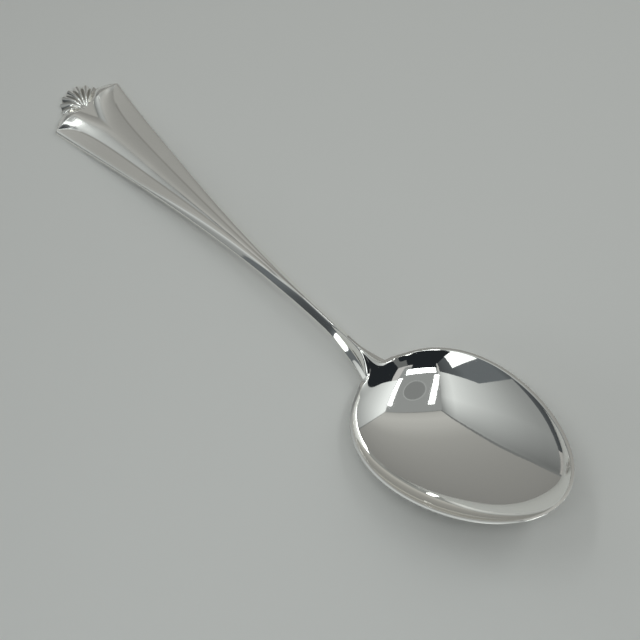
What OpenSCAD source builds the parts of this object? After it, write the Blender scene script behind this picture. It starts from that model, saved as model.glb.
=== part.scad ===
// Tablespoon with a keeled, flaring handle that ends in two lobes and a fluted shell.
// Millimetres. +Z is up, +X runs from the shell to the bowl's tip, and the spoon lies on z = 0.
// Stations are measured along X from the tip of the shell.

/* [Overall] */
// Whole length, from the tip of the shell to the tip of the bowl
length = 205; // [180:1:230]

/* [Bowl] */
// Length of the bowl along the spoon
bowl_length = 70.2; // [60:0.1:80]
// Width of the bowl at its widest
bowl_width = 49.7; // [40:0.1:58]
// Depth of the bowl's back under the rim line
bowl_depth = 10.9; // [9:0.1:14]
// How far the rim rises from its middle to its tip, before the curl
tip_height = 11.8; // [7:0.1:14]
// How far both ends of the rim curl above a straight line
curl_height = 2.7; // [1:0.1:4]
// How much wider the bowl is towards the neck, 0 being a plain oval
egg = 0.144; // [0:0.002:0.2]
// How much squarer both ends are than a plain oval
end_fullness = 0.03; // [0:0.01:0.1]
// How much deeper the bowl is towards the neck, 0 being evenly deep
heel_depth = 0.24; // [0:0.02:0.3]
// Thickness at the bottom of the bowl
bowl_wall = 1.6; // [1.2:0.1:2.5]
// Width of the rim's lip
rim_lip = 0.9; // [0.7:0.1:1.4]

/* [Stem] */
// Width at the waist, the narrowest place
stem_width = 4; // [3.5:0.1:6]
// Height of the stem's side edges at the waist
arch_height = 8; // [7:0.1:11]
// Height of the side edges where the stem runs into the bowl
neck_height = 5.8; // [5:0.1:8]
// How steep the two faces of the ridge are at the waist, as rise over run
ridge_slope = 1.4; // [1:0.05:2]
// Distance from the waist to the bowl
waist_gap = 23; // [16:1:30]
// Depth of the rounded back under the side edges at the waist
stem_belly = 2; // [1:0.1:3]
// Thickness of the side edges along the stem
stem_edge = 0.9; // [0.6:0.1:1.5]

/* [Handle] */
// Width across the two end corners
handle_width = 25.6; // [20:0.1:32]
// Thickness of the blade's edge at the end corners
blade_edge = 1.4; // [1:0.1:2]
// How strongly the sides sweep in towards the waist
flare = 1.85; // [1.4:0.05:2.4]
// Slope of the keel's facets above the flat borders, in degrees
keel_angle = 10.5; // [5:0.5:14]

/* [Shell] */
// How far the shell's tip stands beyond the end corners
shell_reach = 8.9; // [7:0.1:11]
// Number of flutes
flutes = 7; // [5:2:9]
// Height of a flute's crest above its grooves
flute_height = 0.7; // [0.3:0.05:0.9]
// Height of the shell's highest place
shell_height = 2.6; // [2.2:0.1:3.2]
// Radius of the lobes' rounded ends
lobe_round = 2; // [1:0.1:3]

/* [Hidden] */
// How far the lobes' tips stand beyond the end corners, and how far the notch between them reaches in
lobe_reach = 2.8;
notch_depth = 5.4;

// Where along the blade its borders stop running flat, its edge bends and its stem begins, as shares
flat_share = 0.3;
blade_share = 0.35;
stem_share = 0.7;

// Where the ridge turns sharp before the waist and over how far it turns steep
ridge_gap = 6;
steep_run = 20;

// How far past the waist the ridge runs level, and over how far it then dies out
level_gap = 8;
fade_run = 8;

// How far before the bowl the hollow starts, how far into it the hollow is complete, and its first slope
blend_run = 9;
dish_run = 4;
split_slope = -0.8;

// The side edge is lowest just before the bowl, and it runs into the rim over a short way
dip_gap = 2;
rise_gap = 3;
rise_run = 9;

// Stations along the spoon
corner_x = shell_reach;
bowl_start = length - bowl_length;
bowl_middle = length - bowl_length / 2;
waist_x = bowl_start - waist_gap;
lobe_tip_x = corner_x - lobe_reach;
notch_x = corner_x + notch_depth;
blade_x = mix(corner_x, waist_x, blade_share);
flat_x = mix(corner_x, waist_x, flat_share);
stem_x = mix(corner_x, waist_x, stem_share);
ridge_x = waist_x - ridge_gap;
level_x = waist_x + level_gap;
blend_x = bowl_start - blend_run;
dish_x = bowl_start + dish_run;
dip_x = bowl_start - dip_gap;
rise_x = bowl_start - rise_gap;

// Half widths
end_half = handle_width / 2;
stem_half = stem_width / 2;
ridge_half = 0.35;
notch_half = 6.6;

// The notch's sides run straight from its point and flare out at the lobes' tips
notch_flare = 0.47;
notch_power = 6;

// The blade's borders: how much of the width they take, and how the crease between border and keel curls out
border_share = 0.96;
arris_power = 1.5;
crease_share = 0.39;
crease_start = 0.97;
crease_curl = 3.9;

// The keel has a soft crest near the shell and rounds over at the notch
soft_keel_length = 40;
round_over = 1.2;

// Height and slope of the side edge in the blade and at the waist, and of the back at the heel of the bowl
blade_height = 4.2;
blade_slope = 0.085;
heel_height = 2.8;
heel_slope = -0.13;
heel_run = 12;

// The bowl's sections are flattened ovals, and its lip slopes down to a thin outer edge
fullness = 0.78;
flat_root = sqrt(1 - fullness);
lip_drop = 0.2;
lip_wall = 0.25;
slope_step = 0.01;

// The bowl's outline runs out of the stem's by a fillet, between two slopes that lead away from both
neck_fillet = 14;
run_in = 0.75;
run_out = 2;

// The shell: how far its hinge lies beyond the end corners, its edge, its recess and how its flutes fade
hinge_gap = 0.1;
hinge_x = corner_x - hinge_gap;
shell_edge = 1;
recess_height = 1.3;
scallop = 0.5;
fan_fade = 10;
hinge_round = 1.6;
groove_share = 0.5;

// The lobes' ends bow outwards, and their first sections stand just inside their tips
lobe_bow = 0.6;
lobe_start = 0.15;

// Points across half a section, across a flute and along its spokes, and sections along each part
half_count = 10;
flute_points = 6;
shell_rings = 7;
lobe_steps = 12;
lobe_crowding = 1.5;
point_run = 3;
point_steps = 6;
handle_steps = 25;
stem_steps = 14;
neck_steps = 6;
heel_steps = 20;
bowl_steps = 34;

function clamp(t) = max(0, min(1, t));

function ease(t) = let (u = clamp(t)) u * u * (3 - 2 * u);

function mix(a, b, t) = a + (b - a) * t;

// Quarter circle that rises from 0 to 1
function swell(t) = sqrt(1 - pow(1 - clamp(t), 2));

// The larger of two values, rounded where they are within k of each other
function soft_max(a, b, k) = max(a, b) + pow(max(k - abs(a - b), 0), 2) / (4 * k);

// Curve from (x0, z0) with slope m0 to (x1, z1) with slope m1
function curve(x, x0, z0, m0, x1, z1, m1) =
    let (h = x1 - x0, t = clamp((x - x0) / h))
    z0 * (1 - ease(t)) + z1 * ease(t) + h * t * (1 - t) * (m0 * (1 - t) - m1 * t);

// Bowl outline and rim, by the place c along the bowl: -1 at the neck, 1 at the tip
function place(x) = (x - bowl_middle) / (bowl_length / 2);

function egg_shape(c) = sqrt(max(0, 1 - c * c)) * (1 - egg * c + end_fullness * c * c);

egg_peak = max([for (c = [-1:0.01:1]) egg_shape(c)]);

function egg_half(c) = bowl_width / 2 * egg_shape(c) / egg_peak;

function rim_line(c) = let (u = max(-1, c)) tip_height * u + curl_height * u * u;

// Rise across a section: 0 in the middle, 1 at the edge
function dish(v) = (1 - sqrt(1 - fullness * v * v)) / (1 - flat_root);

function bowl_sink(c, depth) = depth * (1 - dish(min(1, abs(c)))) * (1 - heel_depth * c);

// The rim stands so high that the bowl's back just touches the table
rim_middle = -min([for (c = [-1:0.01:1]) rim_line(c) - bowl_sink(c, bowl_depth)]);

function rim_z(x) = rim_middle + rim_line(place(x));

// Outline of the whole spoon, as a half width
function blade_half(x) =
    stem_half + (end_half - stem_half) * pow(1 - clamp((x - corner_x) / (waist_x - corner_x)), flare);

function bowl_half(x) = x < bowl_start ? -run_in * (bowl_start - x) : egg_half(place(x));

function outline(x) =
    soft_max(blade_half(x) - run_out * max(0, x - bowl_start), bowl_half(x), neck_fillet);

// Which way is outwards from the outline, as a direction in x and y
function outwards(x) =
    let (
        next = min(length, x + slope_step),
        before = x - slope_step,
        slope = (outline(next) - outline(before)) / (next - before)
    )
    [-slope, 1] / norm([slope, 1]);

// Height of the side edge, rising to the waist, dipping at the neck and running into the rim
function blade_z(x) =
    x < blade_x ? curve(x, corner_x, blade_edge, 0, blade_x, blade_height, blade_slope)
    : x < level_x ? curve(x, blade_x, blade_height, blade_slope, waist_x, arch_height, 0)
    : curve(x, level_x, arch_height, 0, dip_x, neck_height, 0);

function edge_z(x) = mix(blade_z(x), rim_z(x) - lip_drop, ease((x - rise_x) / rise_run));

function dished(x) = ease((x - blend_x) / (dish_x - blend_x));

function edge_wall(x) =
    mix(mix(blade_edge, stem_edge, ease((x - notch_x) / (stem_x - notch_x))), lip_wall, dished(x));

// Back of the spoon along its middle line
function back_edge_z(x) = edge_z(x) - edge_wall(x);

waist_back = arch_height - stem_edge - stem_belly;

function handle_back(x) = back_edge_z(x) - stem_belly * ease((x - notch_x) / (waist_x - notch_x));

function heel_back(x) =
    x < bowl_start ? curve(x, waist_x, waist_back, 0, bowl_start, heel_height, heel_slope)
    : heel_height + heel_slope * (x - bowl_start);

function bowl_back(x) = rim_z(x) - bowl_sink(place(x), bowl_depth);

function back_z(x) =
    x < waist_x ? handle_back(x)
    : x < bowl_start ? heel_back(x)
    : mix(heel_back(x), bowl_back(x), ease((x - bowl_start) / heel_run));

// Blade and stem top: flat borders out to an arris, a crease, and a keel between the creases
function arris_half(x) =
    mix(border_share * blade_half(x), ridge_half, pow(clamp((x - flat_x) / (ridge_x - flat_x)), arris_power));

function gable(x) =
    mix(1, ridge_slope, ease((x - waist_x + steep_run) / steep_run)) * (1 - ease((x - level_x) / fade_run));

function arris_z(x) = edge_z(x) + gable(x) * (blade_half(x) - arris_half(x));

function crease_half(x) =
    arris_half(x) * mix(crease_share, crease_start, 1 / (1 + max(0, x - corner_x) / crease_curl));

// Half width of the notch that the shell fills, negative beyond its point
function notch(x) =
    let (u = (notch_x - x) / (notch_x - lobe_tip_x))
    notch_half * mix(u, pow(max(0, u), notch_power), notch_flare);

function keel_rise(x, y) =
    let (half = crease_half(x), t = 1 - abs(y) / half, soft = 1 - ease((x - notch_x) / soft_keel_length))
    tan(keel_angle) * half * mix(t, t * (2 - t), soft) * swell((abs(y) - notch(x)) / round_over);

function blade_top(x) =
    let (a = arris_half(x), c = crease_half(x), z = arris_z(x))
    concat([[x, outline(x), edge_z(x)], [x, a, z], [x, (a + c) / 2, z]],
        [for (k = [half_count - 3:-1:0]) let (y = c * k / (half_count - 3)) [x, y, z + keel_rise(x, y)]]);

// Inner edge of the bowl's lip, which the ridge splits into at the neck
function rim_point(x) =
    let (inner_x = x - rim_lip * outwards(x)[0], inner_half = max(0, outline(x) - rim_lip * outwards(x)[1]))
    [inner_x, inner_half, rim_z(inner_x)];

function lip_point(x) = mix([x, arris_half(x), arris_z(x)], rim_point(x), dished(x));

// Middle line of the hollow, which drops from the split ridge into the bowl
function hollow_z(x) =
    rim_z(x) - bowl_sink((x - bowl_middle) / (bowl_length / 2 - rim_lip), bowl_depth - bowl_wall);

hollow_slope = (hollow_z(dish_x + slope_step) - hollow_z(dish_x - slope_step)) / (2 * slope_step);

function floor_z(x) =
    x > dish_x ? hollow_z(x)
    : curve(x, blend_x, arris_z(blend_x), split_slope, dish_x, hollow_z(dish_x), hollow_slope);

function bowl_top(x) =
    let (lip = lip_point(x), low = floor_z(lip[0]))
    concat([[x, outline(x), edge_z(x)]],
        [for (j = [0:half_count - 1]) let (v = cos(90 * j / (half_count - 1)))
            [lip[0], lip[1] * v, mix(low, lip[2], dish(v))]]);

// One half of the top at a station, as points from the edge to the middle
function half_top(x) = x <= blend_x ? blade_top(x) : bowl_top(x);

function half_back(x) =
    let (w = outline(x), low = back_z(x), high = back_edge_z(x))
    [for (j = [0:half_count]) let (v = cos(90 * j / half_count)) [x, w * v, mix(low, high, dish(v))]];

function reversed(list) = [for (j = [len(list) - 1:-1:0]) list[j]];

function after_first(list) = [for (i = [1:len(list) - 1]) list[i]];

// A full section: the back from right to left, then the top from left to right
function mirrored(half) =
    concat([for (p = half) [p[0], -p[1], p[2]]], after_first(reversed(half)));

function ring(x) = concat(mirrored(half_back(x)), reversed(mirrored(half_top(x))));

function steps(from, to, count) = [for (i = [0:count]) mix(from, to, i / count)];

// Faces between neighbouring rings of n points each
function walls(rings, n) =
    [for (i = [0:rings - 2], j = [0:n - 1])
        let (a = i * n + j, b = i * n + (j + 1) % n)
        each [[a, b + n, b], [a, a + n, b + n]]];

// Faces that close a ring whose second half lies above its first half
function cap(first, n) =
    [for (j = [0:n / 2 - 2])
        let (low = first + j, high = first + n - 1 - j)
        each [[low, low + 1, high - 1], [low, high - 1, high]]];

function flipped(faces) = [for (f = faces) reversed(f)];

// How many times a ray can enter one of the lofted solids, for the preview
ray_entries = 6;

// Solid through a row of rings, each with the same number of points
module loft(rings) {
    n = len(rings[0]);
    last = (len(rings) - 1) * n;
    polyhedron([for (r = rings) each r],
        concat(cap(0, n), walls(len(rings), n), flipped(cap(last, n))), convexity = ray_entries);
}

// Solid through a row of rings that closes on three points at the bowl's tip: its back, outer edge and lip
module loft_to_tip(rings, low_tip, edge_tip, lip_tip) {
    n = len(rings[0]);
    m = n / 2;
    last = (len(rings) - 1) * n;
    low = last + n;
    edge = low + 1;
    lip = low + 2;
    back = [for (j = [0:m - 2]) [last + j, low, last + j + 1]];
    top = [for (j = [m + 1:n - 3]) [last + j, lip, last + j + 1]];
    left = [for (pair = [[low, edge, m - 1], [edge, lip, m]]) let (a = last + pair[2])
        each [[a, pair[0], pair[1]], [a, pair[1], a + 1]]];
    right = [[last + n - 2, lip, edge], [last + n - 2, edge, last + n - 1],
        [last + n - 1, edge, low], [last + n - 1, low, last]];
    polyhedron([for (r = rings) each r, low_tip, edge_tip, lip_tip],
        concat(cap(0, n), walls(len(rings), n), back, left, top, right), convexity = ray_entries);
}

// Lobes: rings between the notch and the outer side, on a flat underside
lobe_stations =
    [for (t = steps(0, 1, lobe_steps)) mix(lobe_tip_x + lobe_start, notch_x, pow(t, lobe_crowding))];

function end_share(x) = clamp((x - lobe_tip_x) / (corner_x - lobe_tip_x));

function lobe_side(x) = x < corner_x ? mix(notch_half, end_half, pow(end_share(x), lobe_bow)) : blade_half(x);

function lobe_end(y) =
    mix(lobe_tip_x, corner_x, pow(clamp((y - notch_half) / (end_half - notch_half)), 1 / lobe_bow));

function lobe_rise(x, y) = keel_rise(x, y) * swell((x - lobe_end(y)) / lobe_round);

function lobe_ring(x) =
    let (
        n = notch(x),
        w = lobe_side(x),
        a = w - (1 - border_share) * end_half,
        c = x < corner_x ? a * crease_start : crease_half(x),
        z = arris_z(x),
        crown = [for (k = [0:half_count]) let (y = mix(c, n, k / half_count)) [y, z + lobe_rise(x, y)]],
        top = concat([[w, edge_z(x)], [a, z], [(a + c) / 2, z]], crown)
    )
    concat([for (p = reversed(top)) [x, p[0], 0]], [for (p = top) [x, p[0], p[1]]]);

// Shell: spokes from the hinge to the scalloped edge and round the notch
first_notch = [lobe_stations[0], notch(lobe_stations[0])];
fan_angle = atan2(first_notch[1], hinge_x - first_notch[0]);
flute_angle = 2 * fan_angle / flutes;
side_reach = norm([hinge_x - first_notch[0], first_notch[1]]);

function flute_crest(angle) = abs(cos(180 * angle / flute_angle));

function shell_edge_reach(angle) =
    mix(hinge_x, side_reach + scallop, pow(angle / fan_angle, 2)) - scallop * (1 - flute_crest(angle));

function shell_z(x, y) =
    let (
        reach = norm([hinge_x - x, y]),
        angle = atan2(y, hinge_x - x),
        t = reach / shell_edge_reach(max(-fan_angle, min(fan_angle, angle))),
        fan = ease((fan_angle - abs(angle)) / fan_fade) * ease(reach / hinge_round),
        groove = flute_height * (1 - flute_crest(angle)) * ease(t / groove_share)
    )
    mix(recess_height, mix(shell_height, shell_edge, t * t) - groove, fan);

fan_rim = [for (angle = steps(-fan_angle, fan_angle, flutes * flute_points))
    let (reach = shell_edge_reach(angle))
    [hinge_x - reach * cos(angle), reach * sin(angle)]];
notch_rim = [for (x = after_first(lobe_stations)) [x, notch(x)]];
shell_rim = concat(fan_rim, notch_rim, after_first(reversed([for (p = notch_rim) [p[0], -p[1]]])));

function shell_ring(t) =
    [for (p = shell_rim) let (x = mix(hinge_x, p[0], t), y = p[1] * t) [x, y, shell_z(x, y)]];

// Stations of the lofted parts
point_x = notch_x + point_run;
handle_stations =
    concat(steps(notch_x, point_x, point_steps), after_first(steps(point_x, stem_x, handle_steps)));
stem_stations = steps(stem_x, ridge_x, stem_steps);
neck_stations = steps(ridge_x, blend_x, neck_steps);
dish_angle = acos(-place(dish_x));
dish_stations = [for (a = steps(dish_angle, 180, bowl_steps)) bowl_middle - bowl_length / 2 * cos(a)];
bowl_stations = concat(steps(blend_x, dish_x, heel_steps), after_first(dish_stations));

silver = [0.8, 0.8, 0.78];

module place_on_table() {
    translate([-length / 2, 0, 0]) color(silver) children();
}

module bowl() {
    rings = [for (i = [0:len(bowl_stations) - 2]) ring(bowl_stations[i])];
    low_tip = [length, 0, back_edge_z(length)];
    edge_tip = [length, 0, edge_z(length)];
    lip_tip = [length - rim_lip, 0, rim_z(length - rim_lip)];
    place_on_table() loft_to_tip(rings, low_tip, edge_tip, lip_tip);
}

module neck() {
    place_on_table() loft([for (x = neck_stations) ring(x)]);
}

module stem() {
    place_on_table() loft([for (x = stem_stations) ring(x)]);
}

module handle() {
    place_on_table() loft([for (x = handle_stations) ring(x)]);
}

module left_lobe() {
    place_on_table() loft([for (x = lobe_stations) lobe_ring(x)]);
}

module right_lobe() {
    mirror([0, 1, 0]) left_lobe();
}

module shell() {
    n = len(shell_rim);
    last = shell_rings * n;
    rings = [for (k = [1:shell_rings]) each shell_ring(k / shell_rings)];
    base = [for (p = shell_rim) [p[0], p[1], 0]];
    high = last + n;
    low = high + 1;
    crown = [for (j = [0:n - 1]) [j, (j + 1) % n, high]];
    floor = [for (j = [0:n - 1]) [last + (j + 1) % n, last + j, low]];
    place_on_table()
        polyhedron(concat(rings, base, [[hinge_x, 0, shell_z(hinge_x, 0)], [hinge_x, 0, 0]]),
            concat(crown, walls(shell_rings + 1, n), floor), convexity = ray_entries);
}

bowl();
neck();
stem();
handle();
left_lobe();
right_lobe();
shell();
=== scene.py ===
"""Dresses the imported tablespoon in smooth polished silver, on a pale floor under soft studio light."""

import math

import bmesh
import bpy
from mathutils import Matrix, Vector


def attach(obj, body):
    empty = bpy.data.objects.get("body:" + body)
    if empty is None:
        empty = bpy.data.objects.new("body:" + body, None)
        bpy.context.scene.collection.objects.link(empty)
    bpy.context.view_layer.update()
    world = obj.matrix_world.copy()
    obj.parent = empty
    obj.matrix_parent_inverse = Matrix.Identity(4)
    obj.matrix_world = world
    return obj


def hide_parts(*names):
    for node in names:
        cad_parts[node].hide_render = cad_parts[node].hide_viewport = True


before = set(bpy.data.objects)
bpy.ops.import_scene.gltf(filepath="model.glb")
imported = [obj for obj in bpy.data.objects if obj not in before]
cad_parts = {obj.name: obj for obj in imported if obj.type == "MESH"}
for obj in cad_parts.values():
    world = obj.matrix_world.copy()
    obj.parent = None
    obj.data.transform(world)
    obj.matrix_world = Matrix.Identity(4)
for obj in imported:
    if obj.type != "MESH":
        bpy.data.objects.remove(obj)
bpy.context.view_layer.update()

# Driving sizes: lengths in millimetres, angles in degrees, and plain shares, slopes and powers.
# They are the solids' own, but for the keel's angle, the shell's heights and the lobes' rounding.
LENGTH = 205
BOWL_LENGTH = 70.2
BOWL_WIDTH = 49.7
BOWL_DEPTH = 10.9
TIP_HEIGHT = 11.8
CURL_HEIGHT = 2.7
EGG = 0.144  # how much wider the bowl is towards the neck
END_FULLNESS = 0.03  # how much fuller its two ends are
HEEL_DEPTH = 0.24  # how much deeper it is towards the neck
BOWL_WALL = 1.6
RIM_LIP = 0.9
STEM_WIDTH = 4
ARCH_HEIGHT = 8
NECK_HEIGHT = 5.8
RIDGE_SLOPE = 1.4
WAIST_GAP = 23
STEM_BELLY = 2
STEM_EDGE = 0.9
HANDLE_WIDTH = 25.6
BLADE_EDGE = 1.4
FLARE = 1.85
KEEL_ANGLE = 8.5
SHELL_REACH = 8.9
FLUTES = 7
FLUTE_HEIGHT = 0.9
SHELL_HEIGHT = 3.2
LOBE_ROUND = 3.5

# Stations along the spoon, measured from the tip of the shell
CORNER_X = SHELL_REACH
BOWL_START = LENGTH - BOWL_LENGTH
BOWL_MIDDLE = LENGTH - BOWL_LENGTH / 2
WAIST_X = BOWL_START - WAIST_GAP
HANDLE_RUN = WAIST_X - CORNER_X
LOBE_TIP_X = CORNER_X - 2.8  # tips of the lobes
NOTCH_X = CORNER_X + 5.4  # point of the notch between the lobes, where the handle begins
FLAT_X = CORNER_X + 0.3 * HANDLE_RUN  # where the arrises begin to draw together
BLADE_X = CORNER_X + 0.35 * HANDLE_RUN  # where the blade's curve gives way to the stem's
STEM_X = CORNER_X + 0.7 * HANDLE_RUN  # where the stem begins
RIDGE_X = WAIST_X - 6  # where the arrises have met in a ridge, and the neck begins
LEVEL_X = WAIST_X + 5  # where the ridge's sides begin to fall
LIP_X = WAIST_X + 6  # where the ridge begins to split into two lips
BLEND_X = BOWL_START - 9  # where the lips begin to follow the rim, and the bowl begins
DIP_X = BOWL_START - 7  # lowest place of the side edges
NOSE_X = BOWL_START - 6  # where the ridge's nose plunges
RISE_X = BOWL_START - 3  # where the side edges begin to run into the rim
DISH_X = BOWL_START + 4  # where the plunge has met the bowl's hollow

# Handle and lobes
END_HALF = HANDLE_WIDTH / 2
NOTCH_HALF = 6.6
NOTCH_FLARE = 0.47  # share of the notch's width that comes late, towards the lobes' tips
NOTCH_POWER = 6
BORDER_SHARE = 0.96  # where the border's arris runs, as a share of the half width
BEVEL_SHARE = 0.3  # most of a lobe's width that the bevel outside the arris takes
CREASE_START = 0.97  # where the keel's crease runs at the corners, as a share of the way to the arris
CREASE_SHARE = 0.39  # the share that it tends to along the handle
CREASE_CURL = 3.9  # distance from the corners at which half of that change is made
SOFT_KEEL_LENGTH = 40  # length over which the keel turns from an arch into two flat facets
ROUND_OVER = 3.5  # reach of the lobes' rounding beside the notch
LOBE_PUFF = 4  # how much fuller than an arch the lobes are
LOBE_PUFF_RUN = 14  # length over which that puffiness fades
LOBE_BOW = 0.6  # below 1, so that the lobes' ends bow outwards
LOBE_START = 0.03  # the skin starts this far behind the lobes' tips
BLADE_HEIGHT = 4.2
BLADE_SLOPE = 0.085

# Stem and neck
STEM_HALF = STEM_WIDTH / 2
RIDGE_HALF = 0.5
RIDGE_CROWN = 0.25
ARRIS_POWER = 1.5  # how late the arrises draw together
STEEP_RUN = 20  # length over which the ridge's facets steepen before the waist
NECK_SLOPE = 0.82  # slope that they ease to at the neck
EASE_RUN = 6
NOSE_RISE = 0.5
NOSE_SLOPE = -0.1
RISE_RUN = 9
NECK_FILLET = 14
RUN_IN = 0.75  # how the bowl's outline and the stem's fade into each other under the fillet
RUN_OUT = 2

# Bowl
HEEL_HEIGHT = 2.8
HEEL_SLOPE = -0.13
HEEL_RUN = 12
FULLNESS = 0.78  # roundness of the bowl's sections: 0 a parabola, 1 half an ellipse
FLAT_ROOT = math.sqrt(1 - FULLNESS)
LIP_DROP = 0.2
LIP_WALL = 0.25

# Shell
HINGE_X = CORNER_X - 0.1
SHELL_EDGE = 1
RECESS_HEIGHT = 1.3
SCALLOP = 0.5
FAN_FADE = 10  # degrees over which the fan sinks to the recess at its sides
HINGE_ROUND = 6
GROOVE_SHARE = 0.5  # share of a spoke over which its groove deepens

# Roundings that polishing leaves on the edges
ARRIS_ROUND = 0.9
CREASE_ROUND = 0.2
EDGE_ROUND = 0.25
CREST_ROUND = 1
CREST_SHARE = 0.3  # most of the keel's half width that the crest's rounding takes

# Painted shade that darkens the creases beside the keel and the shell's grooves
CREASE_WIDTH = 0.5
CREASE_PAINTED_SHADE = 0.3
GROOVE_PAINTED_SHADE = 0.5

# Step over which slopes are measured
SLOPE_STEP = 0.01


def clamp(t):
    return max(0.0, min(1.0, t))


def ease(t):
    u = clamp(t)
    return u * u * (3 - 2 * u)


def mix(a, b, t):
    return a + (b - a) * t


def swell(t):
    """Quarter circle that rises from 0 to 1."""
    return math.sqrt(1 - (1 - clamp(t)) ** 2)


def soft_max(a, b, k):
    """The larger of two values, rounded where they are within k of each other."""
    return max(a, b) + max(k - abs(a - b), 0) ** 2 / (4 * k)


def curve(x, x0, z0, m0, x1, z1, m1):
    """Curve from (x0, z0) with slope m0 to (x1, z1) with slope m1."""
    h = x1 - x0
    t = clamp((x - x0) / h)
    return mix(z0, z1, ease(t)) + h * t * (1 - t) * (m0 * (1 - t) - m1 * t)


def place(x):
    """Where a station lies along the bowl: -1 at the neck, 1 at the tip."""
    return (x - BOWL_MIDDLE) / (BOWL_LENGTH / 2)


def egg_shape(c):
    """Half width at a place along the bowl, not yet to scale."""
    return math.sqrt(max(0, 1 - c * c)) * (1 - EGG * c + END_FULLNESS * c * c)


BOWL_PLACES = [i / 100 for i in range(-100, 101)]
EGG_PEAK = max(egg_shape(c) for c in BOWL_PLACES)


def rim_line(c):
    """How far the rim lies above its own height at the bowl's middle."""
    u = max(-1, c)
    return TIP_HEIGHT * u + CURL_HEIGHT * u * u


def dish(v):
    """Rise across a section of the bowl: 0 in the middle, 1 at the edge."""
    return (1 - math.sqrt(1 - FULLNESS * v * v)) / (1 - FLAT_ROOT)


def bowl_sink(c, depth):
    """How far the bowl's middle line lies below its rim."""
    return depth * (1 - dish(min(1, abs(c)))) * (1 - HEEL_DEPTH * c)


# The rim stands so high that the bowl's back just touches the table
RIM_MIDDLE = -min(rim_line(c) - bowl_sink(c, BOWL_DEPTH) for c in BOWL_PLACES)


def rim_z(x):
    return RIM_MIDDLE + rim_line(place(x))


def blade_half(x):
    """Half width of the stem and of the handle that flares from it."""
    along = clamp((x - CORNER_X) / HANDLE_RUN)
    return mix(STEM_HALF, END_HALF, (1 - along) ** FLARE)


def bowl_half(x):
    """Half width of the bowl, running on below nothing before the bowl's start."""
    if x < BOWL_START:
        return -RUN_IN * (BOWL_START - x)
    return BOWL_WIDTH / 2 * egg_shape(place(x)) / EGG_PEAK


def outline(x):
    """Half width of the whole spoon."""
    blade = blade_half(x) - RUN_OUT * max(0, x - BOWL_START)
    return soft_max(blade, bowl_half(x), NECK_FILLET)


def outwards(x):
    """Which way is outwards from the outline, as a direction in x and y."""
    after = min(LENGTH, x + SLOPE_STEP)
    before = x - SLOPE_STEP
    slope = (outline(after) - outline(before)) / (after - before)
    return Vector((-slope, 1)).normalized()


def blade_z(x):
    """Height of the side edge from the corners to its dip at the neck."""
    if x < BLADE_X:
        return curve(x, CORNER_X, BLADE_EDGE, 0, BLADE_X, BLADE_HEIGHT, BLADE_SLOPE)
    if x < LEVEL_X:
        return curve(x, BLADE_X, BLADE_HEIGHT, BLADE_SLOPE, WAIST_X, ARCH_HEIGHT, 0)
    return curve(x, LEVEL_X, ARCH_HEIGHT, 0, DIP_X, NECK_HEIGHT, 0)


def edge_z(x):
    """Height of the side edge, rising to the waist, dipping at the neck and running into the rim."""
    return mix(blade_z(x), rim_z(x) - LIP_DROP, ease((x - RISE_X) / RISE_RUN))


def dished(x):
    """How far the ridge has given way to the bowl's hollow, from 0 to 1."""
    return ease((x - LIP_X) / (DISH_X - LIP_X))


def edge_wall(x):
    """Thickness of the side edge."""
    blade = mix(BLADE_EDGE, STEM_EDGE, ease((x - NOTCH_X) / (STEM_X - NOTCH_X)))
    return mix(blade, LIP_WALL, dished(x))


def back_z(x):
    """Back of the spoon along its middle line."""
    if x < WAIST_X:
        return edge_z(x) - edge_wall(x) - STEM_BELLY * ease((x - NOTCH_X) / (WAIST_X - NOTCH_X))
    if x < BOWL_START:
        waist_back = ARCH_HEIGHT - STEM_EDGE - STEM_BELLY
        return curve(x, WAIST_X, waist_back, 0, BOWL_START, HEEL_HEIGHT, HEEL_SLOPE)
    heel = HEEL_HEIGHT + HEEL_SLOPE * (x - BOWL_START)
    belly = rim_z(x) - bowl_sink(place(x), BOWL_DEPTH)
    return mix(heel, belly, ease((x - BOWL_START) / HEEL_RUN))


def arris_half(x):
    """Half width between the two arrises, which draw together into the ridge."""
    along = clamp((x - FLAT_X) / (RIDGE_X - FLAT_X))
    return mix(BORDER_SHARE * blade_half(x), RIDGE_HALF, along ** ARRIS_POWER)


def gable(x):
    """How steeply the ridge's facets rise from the side edges."""
    before = mix(1, RIDGE_SLOPE, ease((x - WAIST_X + STEEP_RUN) / STEEP_RUN))
    return mix(before, NECK_SLOPE, ease((x - LEVEL_X) / EASE_RUN))


def arris_z(x):
    """Height of the arrises and of the flat borders inside them."""
    return edge_z(x) + gable(x) * (blade_half(x) - arris_half(x))


def ridge_crown(x, y):
    """How far the stem's ridge is crowned between its two arrises."""
    return RIDGE_CROWN * ease((x - STEM_X) / (RIDGE_X - STEM_X)) * (1 - (y / arris_half(x)) ** 2)


def lip_point(x):
    """Inner edge of the bowl's lip, which the ridge's crest splits into at the neck."""
    lean = outwards(x) * RIM_LIP
    inner_x = x - lean[0]
    rim = Vector((inner_x, max(0, outline(x) - lean[1]), rim_z(inner_x)))
    half = mix(arris_half(x), rim.y, dished(x))
    facet = edge_z(x) + gable(x) * (mix(blade_half(x), outline(x), dished(x)) - half)
    height = mix(facet, rim.z, ease((x - BLEND_X) / (DISH_X - BLEND_X)))
    return Vector((mix(x, rim.x, dished(x)), half, height))


def hollow_z(x):
    """Middle line of the bowl's hollow."""
    return rim_z(x) - bowl_sink((x - BOWL_MIDDLE) / (BOWL_LENGTH / 2 - RIM_LIP), BOWL_DEPTH - BOWL_WALL)


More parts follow.
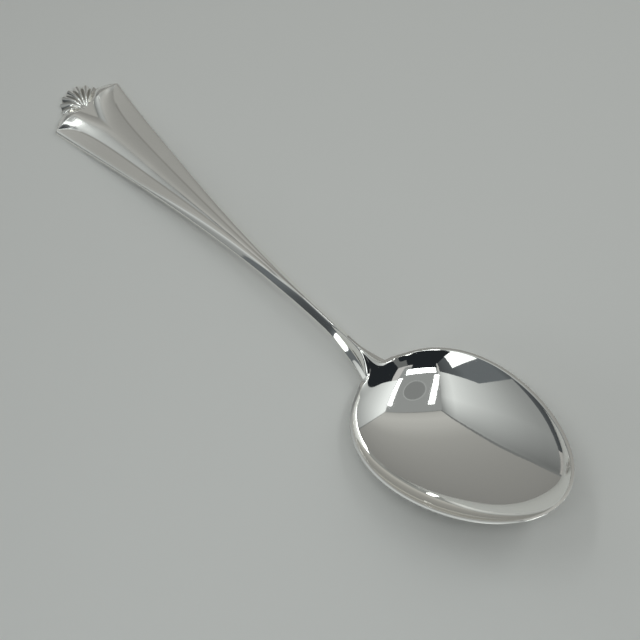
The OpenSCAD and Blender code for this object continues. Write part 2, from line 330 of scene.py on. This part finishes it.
def floor_z(x):
    """Middle line of the front: the ridge, the nose in which it plunges, then the bowl's hollow."""
    if x > DISH_X:
        return hollow_z(x)
    ridge = arris_z(min(x, LEVEL_X)) + RIDGE_CROWN + NOSE_RISE * ease((x - LEVEL_X) / (NOSE_X - LEVEL_X))
    slope = (hollow_z(DISH_X + SLOPE_STEP) - hollow_z(DISH_X - SLOPE_STEP)) / (2 * SLOPE_STEP)
    return ridge if x < NOSE_X else curve(x, NOSE_X, ridge, NOSE_SLOPE, DISH_X, hollow_z(DISH_X), slope)


def crease_half(x):
    """Half width of the keel, out to the creases beside it."""
    curl = 1 / (1 + max(0, x - CORNER_X) / CREASE_CURL)
    return arris_half(x) * mix(CREASE_SHARE, CREASE_START, curl)


def notch(x):
    """Half width of the notch that the shell fills, negative beyond its point."""
    u = (NOTCH_X - x) / (NOTCH_X - LOBE_TIP_X)
    return NOTCH_HALF * mix(u, max(0, u) ** NOTCH_POWER, NOTCH_FLARE)


def lobe_side(x):
    """Half width across the lobes, from their tips to the corners."""
    share = clamp((x - LOBE_TIP_X) / (CORNER_X - LOBE_TIP_X))
    return mix(NOTCH_HALF, END_HALF, share ** LOBE_BOW)


def lobe_end(y):
    """Station at which a lobe ends, at y from the middle line."""
    share = clamp((y - NOTCH_HALF) / (END_HALF - NOTCH_HALF))
    return mix(LOBE_TIP_X, CORNER_X, share ** (1 / LOBE_BOW))


def keel_rise(x, y, half, gap):
    """Height of the keel above the flat borders, at y from the middle line."""
    crest = min(CREST_ROUND, CREST_SHARE * half)
    t = 1 - math.hypot(y, crest) / half
    soft = 1 - ease((x - NOTCH_X) / SOFT_KEEL_LENGTH)
    rounded = swell((y - gap) / ROUND_OVER) * swell((x - lobe_end(y)) / LOBE_ROUND)
    fullness = 2 + LOBE_PUFF * (1 - ease((x - LOBE_TIP_X) / LOBE_PUFF_RUN))
    return math.tan(math.radians(KEEL_ANGLE)) * half * mix(t, 1 - (1 - t) ** fullness, soft) * rounded


# Faces along each stretch of a half section, from the notch's wall or the middle line round to the back
WALL_FACES = 4
KEEL_FACES = 28
FLANGE_FACES = 12
CHAMFER_FACES = 8
EDGE_FACES = 3
BACK_FACES = 26
CORNER_FACES = 5
MOST_TRIM = 0.4  # most of a stretch that the rounding at either end takes
LEAST_LENGTH = 1e-6


def stretch(path, faces, trim_start, trim_end):
    """Points along a path, stopping short of its ends by the given lengths."""
    size = max((path(1) - path(0)).length, LEAST_LENGTH)
    start = min(MOST_TRIM, trim_start / size)
    end = 1 - min(MOST_TRIM, trim_end / size)
    return [path(mix(start, end, i / faces)) for i in range(faces + 1)]


def rounding(before, corner, after):
    """Points that round a corner between two stretches, without its ends."""
    made = []
    for i in range(1, CORNER_FACES):
        t = i / CORNER_FACES
        made.append(before * (1 - t) ** 2 + corner * 2 * t * (1 - t) + after * t * t)
    return made


def half_section(x):
    """Half of the spoon's section at a station, as points from the middle line over the edge to the back."""
    gap = max(0, notch(x))
    wide = lobe_side(x) if x < CORNER_X else outline(x)
    bevel = min((1 - BORDER_SHARE) * END_HALF, BEVEL_SHARE * (wide - gap))
    arris = wide - bevel if x < CORNER_X else arris_half(x)
    crease = gap + (arris - gap) * CREASE_START if x < CORNER_X else crease_half(x)
    high = arris_z(x)
    low = back_z(x)
    lip = lip_point(x)
    split = KEEL_FACES / (KEEL_FACES + FLANGE_FACES)

    def keel(t):
        y = mix(gap, crease, t)
        return Vector((x, y, high + keel_rise(x, y, crease, notch(x)) + ridge_crown(x, y)))

    def border(t):
        y = mix(crease, arris, t)
        return Vector((x, y, high + ridge_crown(x, y)))

    def hollow(t):
        v = math.sin(math.pi / 2 * t)
        return Vector((lip.x, lip.y * v, mix(floor_z(lip.x), lip.z, dish(v))))

    def inside(t):
        return hollow(split * t) if x > LEVEL_X else keel(t)

    def flange(t):
        return hollow(mix(split, 1, t)) if x > LEVEL_X else border(t)

    edge_top = Vector((x, wide, edge_z(x)))
    edge_low = edge_top - Vector((0, 0, edge_wall(x)))

    def chamfer(t):
        return flange(1).lerp(edge_top, t)

    def edge(t):
        return edge_top.lerp(edge_low, t)

    def back(t):
        v = math.cos(math.pi / 2 * t)
        y = gap + (wide - gap) * v
        return Vector((x, y, mix(low, edge_low.z, dish(v)) if gap == 0 else edge_low.z))

    def notch_wall(t):
        return back(1).lerp(inside(0), t)

    crease_trim = CREASE_ROUND * (1 - dished(x))
    runs = [
        stretch(notch_wall, WALL_FACES, 0, 0),
        stretch(inside, KEEL_FACES, 0, crease_trim),
        stretch(flange, FLANGE_FACES, crease_trim, ARRIS_ROUND),
        stretch(chamfer, CHAMFER_FACES, ARRIS_ROUND, EDGE_ROUND),
        stretch(edge, EDGE_FACES, EDGE_ROUND, EDGE_ROUND),
        stretch(back, BACK_FACES, EDGE_ROUND, 0),
    ]
    corners = [inside(1), flange(1), edge_top, edge_low]
    points = runs[0][:-1] + runs[1]
    for run, corner in zip(runs[2:], corners):
        points += rounding(points[-1], corner, run[0]) + run
    return points


def steps(start, end, count):
    """Even steps from start to end, without the start."""
    return [mix(start, end, i / count) for i in range(1, count + 1)]


LOBE_STEPS = 44
LOBE_CROWDING = 1.7  # crowds the rows towards the lobes' tips
KEEL_X = NOTCH_X + 6  # the rows lie closer up to here
DISH_ANGLE = math.acos(-place(DISH_X))

LOBE_SHARES = [(i / LOBE_STEPS) ** LOBE_CROWDING for i in range(LOBE_STEPS + 1)]
LOBE_ROWS = [mix(LOBE_TIP_X + LOBE_START, NOTCH_X, share) for share in LOBE_SHARES]
HANDLE_ROWS = steps(NOTCH_X, KEEL_X, count=24) + steps(KEEL_X, STEM_X, count=110)
STEM_ROWS = steps(STEM_X, RIDGE_X, count=40)
NECK_ROWS = steps(RIDGE_X, BLEND_X, count=40)
BOWL_ROWS = steps(BLEND_X, DISH_X, count=60)
BOWL_ROWS += [BOWL_MIDDLE - BOWL_LENGTH / 2 * math.cos(a) for a in steps(DISH_ANGLE, math.pi, count=130)]
ROWS = LOBE_ROWS + HANDLE_ROWS + STEM_ROWS + NECK_ROWS + BOWL_ROWS

MILLIMETRE = 0.001
TINY = 0.001  # points closer than this, in millimetres, are one


def grid_of(rows):
    """A grid of faces through rows of points, all of the same length."""
    bm = bmesh.new()
    last_row = len(rows) - 1
    last_point = len(rows[0]) - 1
    bmesh.ops.create_grid(bm, x_segments=last_row, y_segments=last_point, size=1)
    for v in bm.verts:
        i = round((v.co.x + 1) / 2 * last_row)
        j = round((v.co.y + 1) / 2 * last_point)
        v.co = rows[i][j]
    return bm


def to_table(bm):
    """From stations in millimetres to the part's frame in metres."""
    bmesh.ops.translate(bm, vec=(-LENGTH / 2, 0, 0), verts=bm.verts)
    bmesh.ops.scale(bm, vec=(MILLIMETRE,) * 3, verts=bm.verts)


def crease_painted_shade(p):
    """Painted shade along the creases beside the keel."""
    if not NOTCH_X < p.x < RIDGE_X or p.z < arris_z(p.x) - CREASE_ROUND:
        return 0
    return CREASE_PAINTED_SHADE * ease(1 - abs(abs(p.y) - crease_half(p.x)) / CREASE_WIDTH)


def whole_body():
    """The forging without its shell, as one skin: lobes, handle, stem, neck and bowl."""
    bm = grid_of([half_section(x) for x in ROWS])
    inner = [f for f in bm.faces if all(abs(v.co.y) < TINY for v in f.verts)]
    bmesh.ops.delete(bm, geom=inner, context="FACES")
    bmesh.ops.mirror(bm, geom=bm.verts[:] + bm.edges[:] + bm.faces[:], axis="Y", merge_dist=TINY)
    bmesh.ops.remove_doubles(bm, verts=bm.verts, dist=TINY)
    bmesh.ops.holes_fill(bm, edges=[e for e in bm.edges if e.is_boundary], sides=0)
    bmesh.ops.recalc_face_normals(bm, faces=bm.faces)
    # Painted shade stored on each point, darker along the creases beside the keel
    painted_shade = bm.verts.layers.float.new("painted_shade")
    for v in bm.verts:
        v[painted_shade] = crease_painted_shade(v.co)
    to_table(bm)
    bm.normal_update()
    for v in bm.verts:
        v.normal = sum((f.normal * f.calc_area() for f in v.link_faces), Vector()).normalized()
    return bm


def finished(name, bm, normals, material, *nodes):
    """Turns a mesh into a piece that stands for the named solids."""
    mesh = bpy.data.meshes.new(name)
    for f in bm.faces:
        f.smooth = True
    bm.to_mesh(mesh)
    bm.free()
    if normals:
        mesh.normals_split_custom_set_from_vertices(normals)
    mesh.materials.append(material)
    piece = bpy.data.objects.new(name, mesh)
    bpy.context.scene.collection.objects.link(piece)
    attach(piece, "root")
    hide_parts(*nodes)


def cut_piece(body, name, node, material, keep):
    """The part of the body whose faces are kept, closed where it is cut, with the whole body's shading."""
    bm = body.copy()
    bmesh.ops.delete(bm, geom=[f for f in bm.faces if not keep(f.calc_center_median())], context="FACES")
    normals = [v.normal.copy() for v in bm.verts]
    bmesh.ops.holes_fill(bm, edges=[e for e in bm.edges if e.is_boundary], sides=0)
    finished(name, bm, normals, material, node)


def station(x):
    """Where a station lies along the part's x axis, in metres."""
    return (x - LENGTH / 2) * MILLIMETRE


# The shell's fan
SIDE_REACH = math.hypot(HINGE_X - LOBE_ROWS[0], notch(LOBE_ROWS[0]))
FAN_ANGLE = math.atan2(notch(LOBE_ROWS[0]), HINGE_X - LOBE_ROWS[0])
FLUTE_ANGLE = 2 * FAN_ANGLE / FLUTES


def flute_crest(angle):
    """1 along the crest of a flute, 0 in the groove beside it."""
    return abs(math.cos(math.pi * angle / FLUTE_ANGLE))


def shell_edge_reach(angle):
    """How far the scalloped edge lies from the hinge."""
    plain = mix(HINGE_X, SIDE_REACH + SCALLOP, (angle / FAN_ANGLE) ** 2)
    return plain - SCALLOP * (1 - flute_crest(angle))


def shell_z(x, y):
    """Height of the shell's front: the fan of flutes, and the smooth recess behind its hinge."""
    reach = math.hypot(HINGE_X - x, y)
    angle = math.atan2(y, HINGE_X - x)
    t = reach / shell_edge_reach(max(-FAN_ANGLE, min(FAN_ANGLE, angle)))
    fan = ease((FAN_ANGLE - abs(angle)) / math.radians(FAN_FADE)) * ease(reach / HINGE_ROUND)
    groove = FLUTE_HEIGHT * (1 - flute_crest(angle)) * ease(t / GROOVE_SHARE)
    return mix(RECESS_HEIGHT, mix(SHELL_HEIGHT, SHELL_EDGE, t * t) - groove, fan)


def groove_painted_shade(x, y):
    """Painted shade between the flutes, deepest down the grooves."""
    angle = math.atan2(y, HINGE_X - x)
    if abs(angle) > FAN_ANGLE:
        return 0
    return GROOVE_PAINTED_SHADE * (1 - flute_crest(angle)) ** 2


FLUTE_FACES = 24
SPOKE_FACES = 40
SHELL_WALL_FACES = 3


def shell_body():
    """The fluted shell, as spokes from its hinge to the scalloped edge and round the notch."""
    rim = []
    for i in range(FLUTES * FLUTE_FACES + 1):
        angle = mix(-FAN_ANGLE, FAN_ANGLE, i / (FLUTES * FLUTE_FACES))
        reach = shell_edge_reach(angle)
        rim.append((HINGE_X - reach * math.cos(angle), reach * math.sin(angle)))
    side = [(x, notch(x)) for x in LOBE_ROWS[1:]]
    rim += side + [(x, -y) for x, y in reversed(side[:-1])]
    rim.append(rim[0])
    rows = []
    for x, y in rim:
        row = []
        for k in range(SPOKE_FACES + 1):
            t = k / SPOKE_FACES
            px = mix(HINGE_X, x, t)
            py = y * t
            row.append(Vector((px, py, shell_z(px, py))))
        top = row[-1].z
        row += [Vector((x, y, z)) for z in steps(top, 0, SHELL_WALL_FACES)]
        row.append(Vector((HINGE_X, 0, 0)))
        rows.append(row)
    bm = grid_of(rows)
    bmesh.ops.remove_doubles(bm, verts=bm.verts, dist=TINY)
    bmesh.ops.recalc_face_normals(bm, faces=bm.faces)
    # Painted shade stored on each point, darker down the shell's grooves
    painted_shade = bm.verts.layers.float.new("painted_shade")
    for v in bm.verts:
        v[painted_shade] = groove_painted_shade(v.co.x, v.co.y)
    to_table(bm)
    return bm


# Finish of the silver, with grains per metre along x, y and z, and depths in metres
SILVER_TINT = (0.94, 0.93, 0.9, 1)
# Colour that the painted shade in the creases and grooves darkens the silver towards
PAINTED_SHADE_TINT = (0.2, 0.18, 0.15, 1)
SMEAR_GRAIN = (70, 110, 90)
HAIRLINE_GRAIN = (160, 5200, 2600)
WAVER_GRAIN = (75, 75, 75)
HAIRLINE_DEPTH = 0.00002
HAIRLINE_STRENGTH = 0.05
WAVER_DEPTH = 0.0004
WAVER_STRENGTH = 0.15
CLEAN = 0.35  # values of the smears' pattern that leave the best and the worst gloss
SMEARED = 0.75
LEAST_GLOSS_ROUGHNESS = 0.015
MOST_GLOSS_ROUGHNESS = 0.075
HANDLE_WEAR = 0.19  # roughness that handling adds at the handle's end
WEAR_END_X = BLADE_X + 20


def noise_of(nodes, links, coords, grain, detail):
    """Cloudy pattern laid through the metal."""
    mapping = nodes.new("ShaderNodeMapping")
    mapping.inputs["Scale"].default_value = grain
    noise = nodes.new("ShaderNodeTexNoise")
    noise.inputs["Scale"].default_value = 1
    noise.inputs["Detail"].default_value = detail
    links.new(coords.outputs["Object"], mapping.inputs["Vector"])
    links.new(mapping.outputs["Vector"], noise.inputs["Vector"])
    return noise.outputs["Fac"]


def range_of(nodes, links, source, start, end, low, high):
    """Turns a pattern's values from start to end into values from low to high."""
    node = nodes.new("ShaderNodeMapRange")
    node.inputs["From Min"].default_value = start
    node.inputs["From Max"].default_value = end
    node.inputs["To Min"].default_value = low
    node.inputs["To Max"].default_value = high
    links.new(source, node.inputs["Value"])
    return node.outputs["Result"]


def bump_of(nodes, links, height, strength, distance):
    node = nodes.new("ShaderNodeBump")
    node.inputs["Strength"].default_value = strength
    node.inputs["Distance"].default_value = distance
    links.new(height, node.inputs["Height"])
    return node


def silver_roughness(nodes, links, coords, wear):
    """Smeared gloss, with wear that grows towards the handle's end."""
    smears = noise_of(nodes, links, coords, SMEAR_GRAIN, detail=3)
    gloss = range_of(nodes, links, smears, CLEAN, SMEARED, LEAST_GLOSS_ROUGHNESS, MOST_GLOSS_ROUGHNESS)
    along = nodes.new("ShaderNodeSeparateXYZ")
    links.new(coords.outputs["Object"], along.inputs["Vector"])
    worn = range_of(nodes, links, along.outputs["X"], station(NOTCH_X), station(WEAR_END_X), wear, 0)
    total = nodes.new("ShaderNodeMath")
    total.operation = "ADD"
    links.new(worn, total.inputs[0])
    links.new(gloss, total.inputs[1])
    return total.outputs["Value"]


def silver_colour(nodes, links):
    """Silver darkened by the painted shade stored on each point, in the keel's creases and the shell's
    grooves.
    """
    grooves = nodes.new("ShaderNodeAttribute")
    grooves.attribute_name = "painted_shade"
    tint = nodes.new("ShaderNodeValToRGB")
    tint.color_ramp.elements[0].color = SILVER_TINT
    tint.color_ramp.elements[1].color = PAINTED_SHADE_TINT
    links.new(grooves.outputs["Fac"], tint.inputs["Fac"])
    return tint.outputs["Color"]


def silver_surface(nodes, links, coords):
    """Hairlines along the spoon, on the slight waver of hand planishing."""
    hairlines = noise_of(nodes, links, coords, HAIRLINE_GRAIN, detail=2)
    waver = noise_of(nodes, links, coords, WAVER_GRAIN, detail=0)
    fine = bump_of(nodes, links, hairlines, HAIRLINE_STRENGTH, HAIRLINE_DEPTH)
    broad = bump_of(nodes, links, waver, WAVER_STRENGTH, WAVER_DEPTH)
    links.new(fine.outputs["Normal"], broad.inputs["Normal"])
    return broad.outputs["Normal"]


def silver_material(name, wear):
    mat = bpy.data.materials.new(name)
    mat.use_nodes = True
    nodes = mat.node_tree.nodes
    links = mat.node_tree.links
    shader = nodes["Principled BSDF"]
    shader.inputs["Metallic"].default_value = 1
    coords = nodes.new("ShaderNodeTexCoord")
    links.new(silver_roughness(nodes, links, coords, wear), shader.inputs["Roughness"])
    links.new(silver_colour(nodes, links), shader.inputs["Base Color"])
    links.new(silver_surface(nodes, links, coords), shader.inputs["Normal"])
    return mat


silver = silver_material("polished_silver", HANDLE_WEAR)
bright_silver = silver_material("bright_silver", 0)
body = whole_body()
cut_piece(body, "bowl_skin", "bowl", silver, lambda p: p.x > station(BLEND_X))
cut_piece(body, "neck_skin", "neck", silver, lambda p: station(RIDGE_X) < p.x < station(BLEND_X))
cut_piece(body, "stem_skin", "stem", silver, lambda p: station(STEM_X) < p.x < station(RIDGE_X))
cut_piece(body, "handle_skin", "handle", silver, lambda p: station(NOTCH_X) < p.x < station(STEM_X))
cut_piece(body, "left_lobe_skin", "left_lobe", silver, lambda p: p.x < station(NOTCH_X) and p.y > 0)
cut_piece(body, "right_lobe_skin", "right_lobe", silver, lambda p: p.x < station(NOTCH_X) and p.y < 0)
body.free()
finished("shell_skin", shell_body(), None, bright_silver, "shell")


# The studio is a light tent turned on the floor, with its half width, half depth and height in metres
TENT_MIDDLE = Vector((0.108, 0.0165, 0))
TENT_TURN = math.radians(46.1)
TENT_WIDE = 0.27
TENT_DEEP = 0.30
TENT_HIGH = 0.60
TENT_PLACE = Matrix.Translation(TENT_MIDDLE) @ Matrix.Rotation(TENT_TURN, 4, "Z")

# Places and sizes in the tent in metres, to the right of its middle, away from the camera, or up
CEILING_RIGHT_FRONT = 0.155
CEILING_RIGHT_BACK = 0.262
HATCH_RIGHT = -0.03
HATCH_AWAY = 0.057
HATCH_RADIUS = 0.103
RING_WIDTH = 0.01
STRIP_FRONT = -0.11
STRIP_BACK = 0.22
STRIP_WIDTH = 0.046
BAR_LEFT = -0.245
BAR_RIGHT = 0.1
BAR_FRONT = -0.235
BAR_BACK = -0.15
DARK_FRONT = -0.34
DARK_TOP_RIGHT = 0.05
FRONT_HALF = 0.31
GAP_BACK = 0.2
GAP_ASIDE = 0.02
FRONT_CLOTH_AWAY = -0.33
FRONT_CLOTH_LEFT = 0.12
WINDOW_BACK = -0.115
WINDOW_LOW = 0.08
WINDOW_HIGH = 0.33
LEFT_TOP_FRONT = -0.17
FOLD_FRONT = 0.03
FOLD_HEIGHT = 0.19
LEFT_FOOT_FRONT = 0.004
LEFT_FOOT_FRONT_LOW = 0.035
LEFT_FOOT_BACK_LOW = 0.01
RIGHT_FOOT_FRONT = 0.03
RIGHT_TOP_FRONT = -0.1
RIGHT_TOP_FRONT_IN = 0.19
LAYER = 0.001
SEAM_WIDTH = 0.012

# Tints of the cloth, the paper and the shade
COOL = (0.95, 1.0, 0.99)
WARM = (1.0, 1.01, 0.965)
DUSK = (0.8, 0.95, 1.1)
SHADE = (0.9, 1.0, 1.06)
FLOOR_TINT = (0.8, 0.795, 0.775, 1)
FLOOR_RADIUS = 4


def glow(name, colour, strength):
    """Finish of a panel that shines evenly."""
    mat = bpy.data.materials.new(name)
    mat.use_nodes = True
    mat.node_tree.nodes.clear()
    shine = mat.node_tree.nodes.new("ShaderNodeEmission")
    shine.inputs["Color"].default_value = (*colour, 1)
    shine.inputs["Strength"].default_value = strength
    output = mat.node_tree.nodes.new("ShaderNodeOutputMaterial")
    mat.node_tree.links.new(shine.outputs["Emission"], output.inputs["Surface"])
    return mat


def graded_glow(name, colour, *steps_up):
    """Finish of a panel whose shine follows the height above the floor, given as (height, strength)."""
    mat = glow(name, colour, strength=1)
    nodes = mat.node_tree.nodes
    links = mat.node_tree.links
    coords = nodes.new("ShaderNodeTexCoord")
    split = nodes.new("ShaderNodeSeparateXYZ")
    ramp = nodes.new("ShaderNodeValToRGB")
    ramp.color_ramp.elements.remove(ramp.color_ramp.elements[0])
    for i, (height, strength) in enumerate(steps_up):
        stop = ramp.color_ramp.elements[0] if i == 0 else ramp.color_ramp.elements.new(height)
        stop.position = height
        stop.color = (*(strength * c for c in colour), 1)
    links.new(coords.outputs["Object"], split.inputs["Vector"])
    links.new(split.outputs["Z"], ramp.inputs["Fac"])
    links.new(ramp.outputs["Color"], nodes["Emission"].inputs["Color"])
    return mat


def fade_away(mat, start, end, share):
    """Dims a panel's shine to a share of it, from one depth in the tent to another."""
    nodes = mat.node_tree.nodes
    links = mat.node_tree.links
    coords = nodes.new("ShaderNodeTexCoord")
    in_tent = nodes.new("ShaderNodeMapping")
    in_tent.vector_type = "TEXTURE"
    in_tent.inputs["Location"].default_value = TENT_MIDDLE
    in_tent.inputs["Rotation"].default_value = (0, 0, TENT_TURN)
    split = nodes.new("ShaderNodeSeparateXYZ")
    links.new(coords.outputs["Object"], in_tent.inputs["Vector"])
    links.new(in_tent.outputs["Vector"], split.inputs["Vector"])
    faded = range_of(nodes, links, split.outputs["Y"], start, end, 1, share)
    links.new(faded, nodes["Emission"].inputs["Strength"])


def staged(name, bm, material):
    """Turns a mesh into a part of the studio, which the camera itself doesn't see."""
    mesh = bpy.data.meshes.new(name)
    bmesh.ops.transform(bm, matrix=TENT_PLACE, verts=bm.verts)
    bm.to_mesh(mesh)
    bm.free()
    mesh.materials.append(material)
    part = bpy.data.objects.new(name, mesh)
    part.visible_camera = False
    bpy.context.scene.collection.objects.link(part)
    return part


def panel(name, material, *corners):
    """A flat panel through four corners, each given as right, away and up."""
    bm = bmesh.new()
    bmesh.ops.create_grid(bm, x_segments=1, y_segments=1, size=1)
    first, second, third, fourth = (Vector(c) for c in corners)
    for v in bm.verts:
        u = (v.co.x + 1) / 2
        low = first.lerp(second, u)
        high = fourth.lerp(third, u)
        v.co = low.lerp(high, (v.co.y + 1) / 2)
    staged(name, bm, material)


def flat_panel(name, material, left, right, front, back, up):
    panel(name, material, (left, front, up), (right, front, up), (right, back, up), (left, back, up))


def side_panel(name, material, side, front, back, low, high):
    panel(name, material, (side, front, low), (side, back, low), (side, back, high), (side, front, high))


def end_panel(name, material, away, left, right, low, high):
    panel(name, material, (left, away, low), (right, away, low), (right, away, high), (left, away, high))


def round_panel(name, material, radius, right, away, up):
    bm = bmesh.new()
    bmesh.ops.create_circle(bm, cap_ends=True, segments=64, radius=radius)
    bmesh.ops.translate(bm, vec=(right, away, up), verts=bm.verts)
    staged(name, bm, material)


def strip_panel(name, material, front_left, back_left, up):
    """A light strip along the ceiling, from its left edge in front to its left edge at the back."""
    front_right = front_left + STRIP_WIDTH
    back_right = back_left + STRIP_WIDTH
    panel(name, material, (front_left, STRIP_FRONT, up), (front_right, STRIP_FRONT, up),
          (back_right, STRIP_BACK, up), (back_left, STRIP_BACK, up))


def under_ceiling(layers):
    """Height of something under the ceiling, so many layers down that it hides what it crosses."""
    return TENT_HIGH - layers * LAYER


def tent_ceiling(dark):
    """Ceiling cloth with a ringed hatch, two light strips and a light bar, and the dark before it."""
    panel("tent_ceiling", glow("ceiling_cloth", COOL, strength=0.29), (-TENT_WIDE, -TENT_DEEP, TENT_HIGH),
          (CEILING_RIGHT_FRONT, -TENT_DEEP, TENT_HIGH), (CEILING_RIGHT_BACK, TENT_DEEP, TENT_HIGH),
          (-TENT_WIDE, TENT_DEEP, TENT_HIGH))
    ring = glow("ring_cloth", COOL, strength=0.38)
    hatch = glow("hatch_cloth", COOL, strength=0.22)
    round_panel("tent_ring", ring, HATCH_RADIUS + RING_WIDTH, HATCH_RIGHT, HATCH_AWAY, under_ceiling(1))
    round_panel("tent_hatch", hatch, HATCH_RADIUS, HATCH_RIGHT, HATCH_AWAY, under_ceiling(2))
    lamp = glow("lamp", COOL, strength=5.5)
    strip_panel("left_strip", lamp, front_left=-0.273, back_left=-0.206, up=under_ceiling(3))
    strip_panel("right_strip", lamp, front_left=0.132, back_left=0.190, up=under_ceiling(3))
    flat_panel("front_bar", lamp, BAR_LEFT, BAR_RIGHT, BAR_FRONT, BAR_BACK, under_ceiling(4))
    flat_panel("dark_top", dark, -TENT_WIDE, DARK_TOP_RIGHT, DARK_FRONT, BAR_FRONT, under_ceiling(5))


def left_wall():
    """Cloth wall on the left, folded at one height, whose front edge leans forward above the fold."""
    cloth = graded_glow("left_cloth", COOL, (0, 0.25), (0.06, 0.28), (0.1, 0.33), (0.2, 0.5), (0.3, 0.63),
                        (0.4, 0.74), (0.5, 0.6), (0.6, 0.38))
    fade_away(cloth, start=0.15, end=0.28, share=0.57)
    fold_front = (-TENT_WIDE, FOLD_FRONT, FOLD_HEIGHT)
    fold_back = (-TENT_WIDE, TENT_DEEP, FOLD_HEIGHT)
    panel("left_wall_top", cloth, fold_front, fold_back,
          (-TENT_WIDE, TENT_DEEP, TENT_HIGH), (-TENT_WIDE, LEFT_TOP_FRONT, TENT_HIGH))
    panel("left_wall_foot", cloth, (-TENT_WIDE, LEFT_FOOT_FRONT, LEFT_FOOT_FRONT_LOW),
          (-TENT_WIDE, TENT_DEEP, LEFT_FOOT_BACK_LOW), fold_back, fold_front)


def right_wall():
    """Cloth wall on the right, leaning in to the edge of the ceiling."""
    cloth = graded_glow("right_cloth", COOL, (0, 0.3), (0.1, 0.38), (0.2, 0.48), (0.3, 0.6), (0.4, 0.74),
                        (0.5, 0.88), (0.6, 0.95))
    panel("right_wall", cloth, (TENT_WIDE, RIGHT_FOOT_FRONT, 0), (TENT_WIDE, TENT_DEEP, 0),
          (CEILING_RIGHT_BACK, TENT_DEEP, TENT_HIGH), (RIGHT_TOP_FRONT_IN, RIGHT_TOP_FRONT, TENT_HIGH))


def back_wall():
    """Backdrop of warm paper."""
    paper = graded_glow("backdrop_paper", WARM, (0, 0.22), (0.15, 0.28), (0.25, 0.325), (0.35, 0.41),
                        (0.45, 0.46), (0.55, 0.42), (0.6, 0.33))
    end_panel("back_wall", paper, TENT_DEEP, -TENT_WIDE, TENT_WIDE, 0, TENT_HIGH)


def tent_front(dark):
    """Dark front and sides that show past the walls' edges, with a window on the left."""
    end_panel("front_gap", dark, DARK_FRONT, -FRONT_HALF, FRONT_HALF, 0, TENT_HIGH)
    side_panel("right_gap", dark, TENT_WIDE + GAP_ASIDE, DARK_FRONT, GAP_BACK, 0, TENT_HIGH)
    gap = graded_glow("left_gap_cloth", SHADE, (0, 0.06), (0.03, 0.085), (0.07, 0.14),
                      (0.26, 0.14), (0.32, 0.11), (0.6, 0.06))
    side_panel("left_gap", gap, -TENT_WIDE - GAP_ASIDE, DARK_FRONT, GAP_BACK, 0, TENT_HIGH)
    window = glow("window_light", COOL, strength=1.5)
    side_panel("side_window", window, -TENT_WIDE - GAP_ASIDE / 2, FRONT_CLOTH_AWAY, WINDOW_BACK,
               WINDOW_LOW, WINDOW_HIGH)
    cloth = glow("front_cloth", COOL, strength=0.14)
    end_panel("front_cloth", cloth, FRONT_CLOTH_AWAY, FRONT_CLOTH_LEFT, FRONT_HALF, WINDOW_HIGH, TENT_HIGH)


def tent_seams():
    """Darker seams where the backdrop meets the ceiling and the walls."""
    seam = glow("seam", COOL, strength=0.17)
    end_panel("back_seam", seam, TENT_DEEP - LAYER, -TENT_WIDE, TENT_WIDE, TENT_HIGH - SEAM_WIDTH, TENT_HIGH)
    corner = TENT_DEEP - 2 * LAYER
    end_panel("left_seam", seam, corner, -TENT_WIDE, -TENT_WIDE + SEAM_WIDTH, 0, TENT_HIGH)
    end_panel("right_seam", seam, corner, TENT_WIDE - SEAM_WIDTH, TENT_WIDE, 0, TENT_HIGH)


def light_tent():
    dark = glow("dark_front", DUSK, strength=0.02)
    tent_ceiling(dark)
    left_wall()
    right_wall()
    back_wall()
    tent_front(dark)
    tent_seams()


def pale_floor():
    bm = bmesh.new()
    bmesh.ops.create_circle(bm, cap_ends=True, segments=96, radius=FLOOR_RADIUS)
    mat = bpy.data.materials.new("pale_floor")
    mat.use_nodes = True
    shader = mat.node_tree.nodes["Principled BSDF"]
    shader.inputs["Base Color"].default_value = FLOOR_TINT
    shader.inputs["Roughness"].default_value = 0.9
    shader.inputs["Specular IOR Level"].default_value = 0.1
    floor = staged("floor", bm, mat)
    floor.visible_camera = True


def soft_surroundings():
    """Even pale light from all round, outside the tent."""
    world = bpy.data.worlds.new("studio")
    bpy.context.scene.world = world
    world.use_nodes = True
    background = world.node_tree.nodes["Background"]
    background.inputs["Color"].default_value = (1, 1, 0.98, 1)
    background.inputs["Strength"].default_value = 0.5


light_tent()
pale_floor()
soft_surroundings()
bpy.context.scene.view_settings.view_transform = "Standard"

# The camera stands where the photo was taken from, with its lens and sensor in millimetres
EYE = Vector((0.21222, -0.19470, 0.58039))
TARGET = Vector((0.00792, 0.00180, 0))
LENS = 123.75
SENSOR = 36
camera = bpy.data.cameras.new("camera")
camera.sensor_width = SENSOR
camera.lens = LENS
camera.clip_start = 0.01
view = bpy.data.objects.new("camera", camera)
view.location = EYE
view.rotation_euler = (TARGET - EYE).to_track_quat("-Z", "Y").to_euler()
bpy.context.scene.collection.objects.link(view)
bpy.context.scene.camera = view
